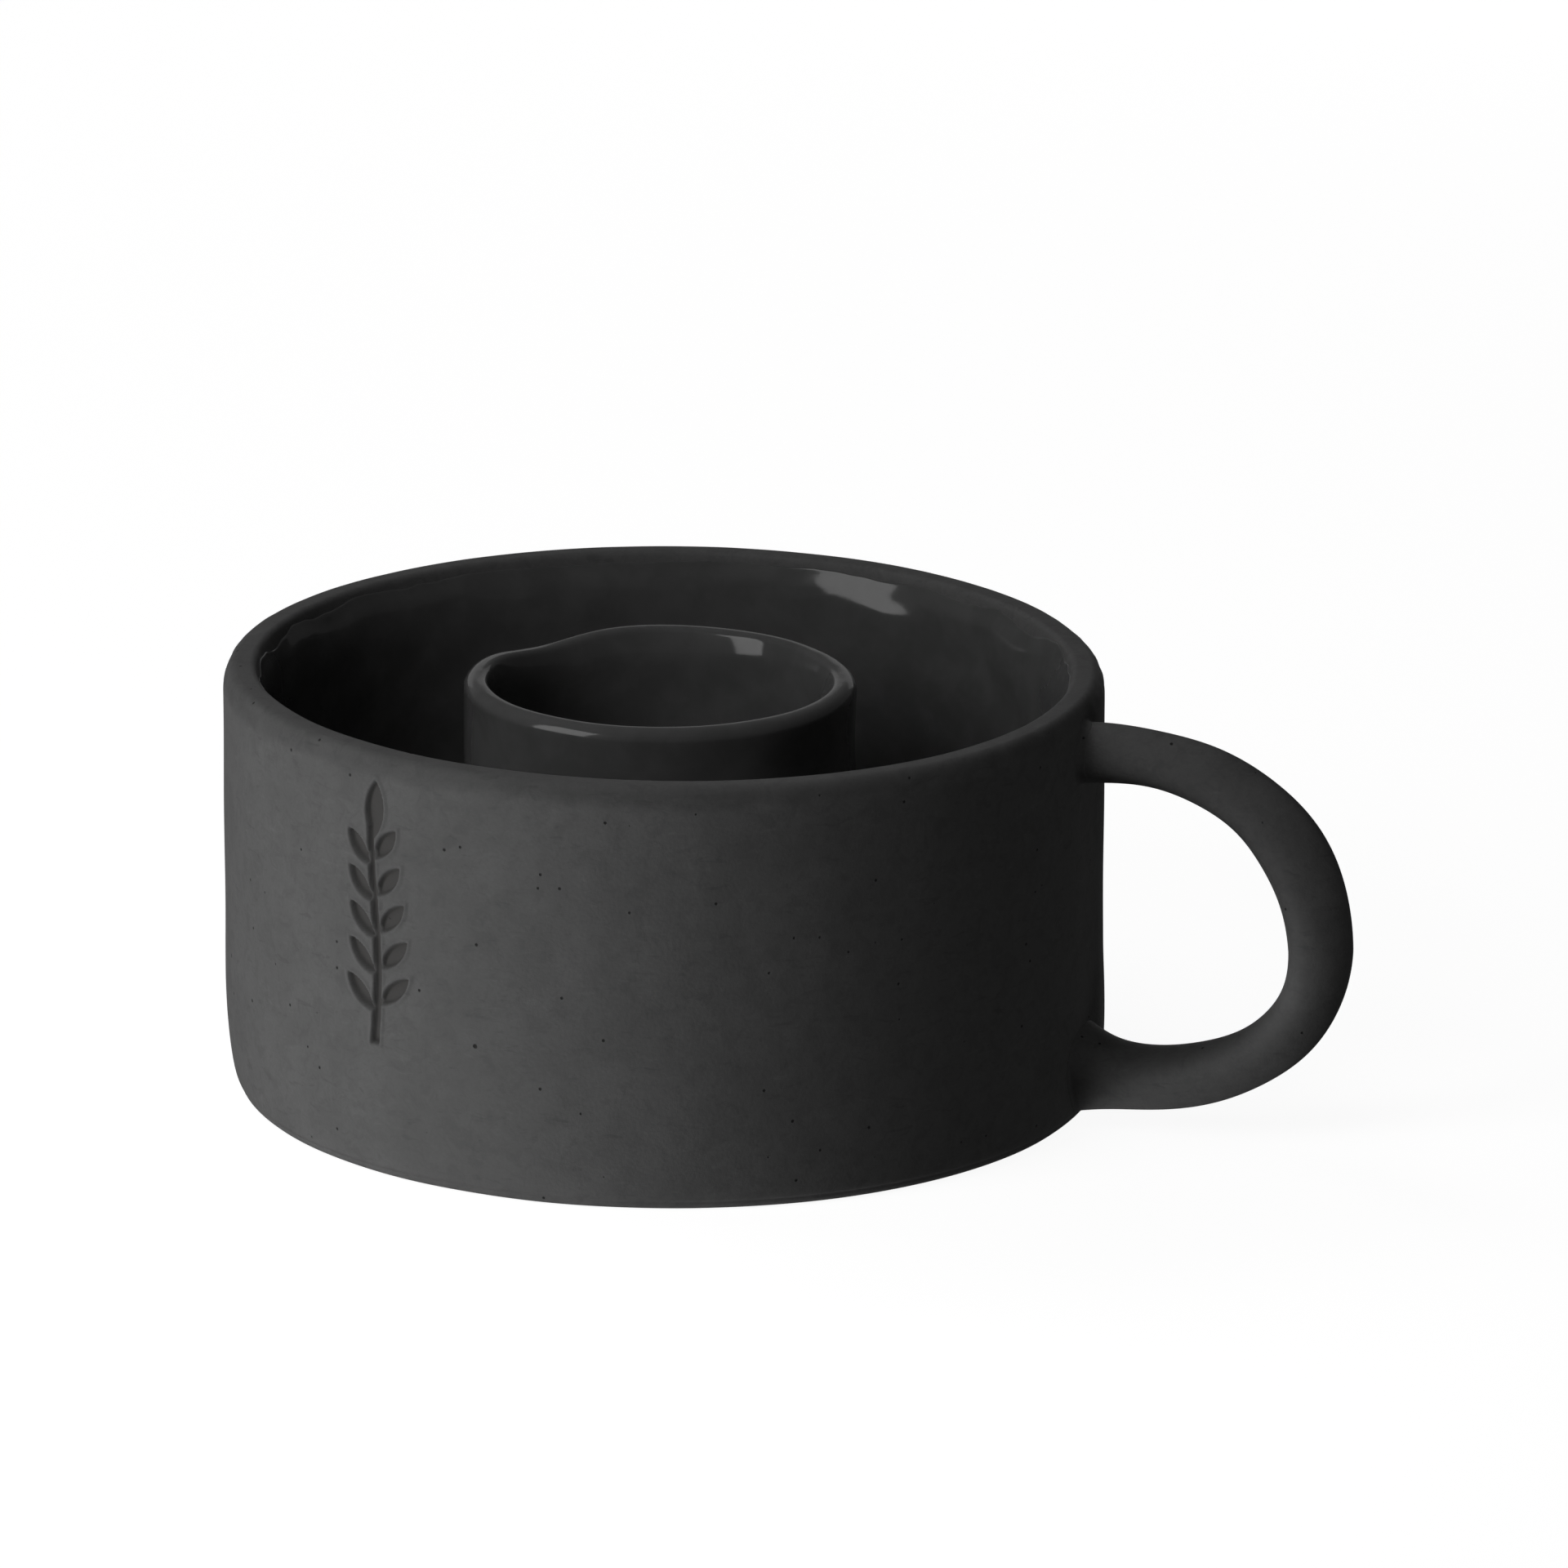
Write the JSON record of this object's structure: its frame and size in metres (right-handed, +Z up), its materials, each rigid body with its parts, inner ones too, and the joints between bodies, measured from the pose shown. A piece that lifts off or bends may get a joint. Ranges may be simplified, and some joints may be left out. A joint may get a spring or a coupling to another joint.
{
  "type": "handled candle holder",
  "caption": "Round stoneware candle holder: an open bowl with a glazed candle cup standing in it and a loop handle at one side, empty.",
  "frame": {"origin": "on the bowl's axis, in the plane of the foot ring that it stands on", "axes": "+Z up along the axis of the bowl and the cup, +X towards the handle"},
  "size_m": [0.144, 0.11, 0.054],
  "materials": {
    "bare_stoneware": "matt, dry, fine-grained fired clay with faint clouding and small dark pits",
    "handle_stoneware": "matt, smoothed by hand, with a few pinholes",
    "cup_stoneware": "matt, covered by glaze",
    "slip": "matt, wiped smooth",
    "gloss_glaze": "gloss, slightly uneven"
  },
  "bodies": {
    "root": {"bowl": "bare_stoneware", "candle_cup": "cup_stoneware", "cup_seam": "slip", "handle": "handle_stoneware", "upper_handle_seam": "slip", "lower_handle_seam": "slip", "bowl_glaze": "gloss_glaze", "cup_glaze": "gloss_glaze"}
  },
  "joints": []
}
